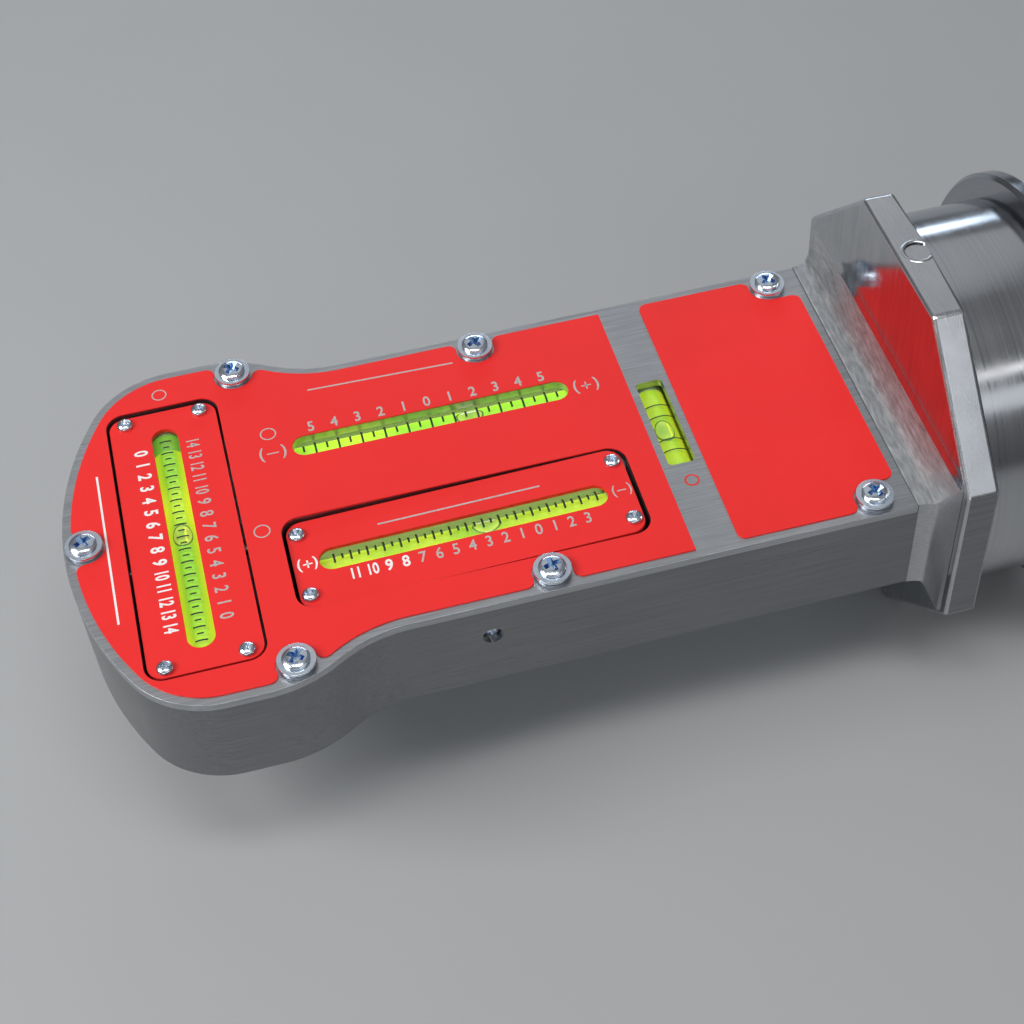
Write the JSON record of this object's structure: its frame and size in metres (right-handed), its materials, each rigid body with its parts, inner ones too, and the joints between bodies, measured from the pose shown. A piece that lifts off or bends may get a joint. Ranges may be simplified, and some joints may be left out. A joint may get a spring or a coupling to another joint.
{
  "type": "camber caster gauge",
  "caption": "Magnetic camber, castor and kingpin gauge: an aluminium arm with red dials and spirit vials on a magnetic hub head.",
  "frame": {"origin": "centre of the magnetic face, on the centring pin's axis", "axes": "+X out of the magnetic face, +Z out of the printed face, the rounded head at -X"},
  "size_m": [0.2192, 0.0924, 0.0924],
  "materials": {
    "cast_aluminium": "polished and cast aluminium",
    "cover_aluminium": "brushed aluminium sheet",
    "red_print": "red printed aluminium",
    "zinc": "bright zinc plating",
    "spring_steel": "oiled spring steel",
    "vial": "clear acrylic with a yellow-green liquid",
    "plug": "moulded acrylic",
    "bubble": "air bubble",
    "carrier": "milled aluminium",
    "brass": "turned and knurled brass",
    "nylon": "white nylon",
    "housing_steel": "turned steel",
    "magnet": "sintered ferrite",
    "chrome": "polished chrome plating"
  },
  "bodies": {
    "gauge": {"body_casting": "cast_aluminium", "cover_plate": "cover_aluminium", "dial_face": "red_print", "title_face": "red_print", "cover_screws": "zinc", "cover_plain_washers": "zinc", "cover_spring_washers": "zinc", "camber_vial": "vial", "camber_vial_plugs": "plug", "level_vial": "vial", "level_vial_plugs": "plug", "castor_pivot_screw": "zinc", "castor_pivot_pin": "spring_steel", "kingpin_pivot_screw": "zinc", "kingpin_pivot_pin": "spring_steel", "castor_return_spring": "spring_steel", "kingpin_return_spring": "spring_steel", "bolt_friction_washers": "nylon", "magnet_housing": "housing_steel", "housing_screws": "spring_steel", "ring_magnet": "magnet", "inner_pole": "housing_steel", "separator_ring": "brass", "face_ring": "chrome", "face_ring_screws": "zinc", "centring_spring": "spring_steel", "spring_seat_plug": "housing_steel"},
    "camber_bubble": {"camber_bubble": "bubble"},
    "level_bubble": {"level_bubble": "bubble"},
    "castor_dial": {"castor_carrier": "carrier", "castor_plate": "red_print", "castor_plate_screws": "zinc", "castor_vial": "vial", "castor_vial_plugs": "plug"},
    "castor_bubble": {"castor_bubble": "bubble"},
    "castor_bolt": {"castor_adjusting_bolt": "brass", "castor_bolt_clip": "spring_steel"},
    "castor_nut": {"castor_pusher_nut": "brass"},
    "kingpin_dial": {"kingpin_carrier": "carrier", "kingpin_plate": "red_print", "kingpin_plate_screws": "zinc", "kingpin_vial": "vial", "kingpin_vial_plugs": "plug"},
    "kingpin_bubble": {"kingpin_bubble": "bubble"},
    "kingpin_bolt": {"kingpin_adjusting_bolt": "brass", "kingpin_bolt_clip": "spring_steel"},
    "kingpin_nut": {"kingpin_pusher_nut": "brass"},
    "centring_pin": {"centring_pin": "chrome"}
  },
  "joints": [
    {"name": "castor_bolt_turn", "type": "hinge", "parent": "gauge", "child": "castor_bolt", "pos_m": [-0.1054, -0.0162, -0.0135], "axis": [0, 0, -1], "range_deg": [-816, 489]},
    {"name": "castor_nut_slide", "type": "slide", "parent": "gauge", "child": "castor_nut", "axis": [0, 0, 1], "range_m": [-0.00229, 0.00138]},
    {"name": "castor_tilt", "type": "hinge", "parent": "gauge", "child": "castor_dial", "pos_m": [-0.1314, -0.0162, 0.0012], "axis": [0, -1, 0], "range_deg": [-5, 3], "deforming": ["castor_return_spring"]},
    {"name": "castor_bubble_run", "type": "slide", "parent": "castor_dial", "child": "castor_bubble", "axis": [0.9998, 0, 0.0175], "range_m": [-0.0317, 0.0223], "stiffness_N_per_m": 0.05},
    {"name": "kingpin_bolt_turn", "type": "hinge", "parent": "gauge", "child": "kingpin_bolt", "pos_m": [-0.1877, 0.0251, -0.0135], "axis": [0, 0, -1], "range_deg": [-653, 653]},
    {"name": "kingpin_nut_slide", "type": "slide", "parent": "gauge", "child": "kingpin_nut", "axis": [0, 0, 1], "range_m": [-0.00183, 0.00183]},
    {"name": "kingpin_tilt", "type": "hinge", "parent": "gauge", "child": "kingpin_dial", "pos_m": [-0.1877, -0.0009, 0.0012], "axis": [1, 0, 0], "range_deg": [-4, 4], "deforming": ["kingpin_return_spring"]},
    {"name": "kingpin_bubble_run", "type": "slide", "parent": "kingpin_dial", "child": "kingpin_bubble", "axis": [0, 1, 0], "range_m": [-0.0281, 0.0259], "stiffness_N_per_m": 0.05},
    {"name": "camber_bubble_run", "type": "slide", "parent": "gauge", "child": "camber_bubble", "axis": [1, 0, 0], "range_m": [-0.0355, 0.0185], "stiffness_N_per_m": 0.05},
    {"name": "level_bubble_run", "type": "slide", "parent": "gauge", "child": "level_bubble", "axis": [0, 1, 0], "range_m": [-0.009, 0.009], "stiffness_N_per_m": 0.05},
    {"name": "pin_push", "type": "slide", "parent": "gauge", "child": "centring_pin", "axis": [1, 0, 0], "range_m": [-0.007, 0], "stiffness_N_per_m": 600, "springref_m": 0.003, "deforming": ["centring_spring"]}
  ],
  "couplings": [
    {"joint": "castor_nut_slide", "follows": "castor_bolt_turn", "m_per_rad": 0.00015915},
    {"joint": "castor_tilt", "follows": "castor_bolt_turn", "ratio": 0.0061213},
    {"joint": "kingpin_nut_slide", "follows": "kingpin_bolt_turn", "m_per_rad": 0.00015915},
    {"joint": "kingpin_tilt", "follows": "kingpin_bolt_turn", "ratio": 0.0061213}
  ]
}
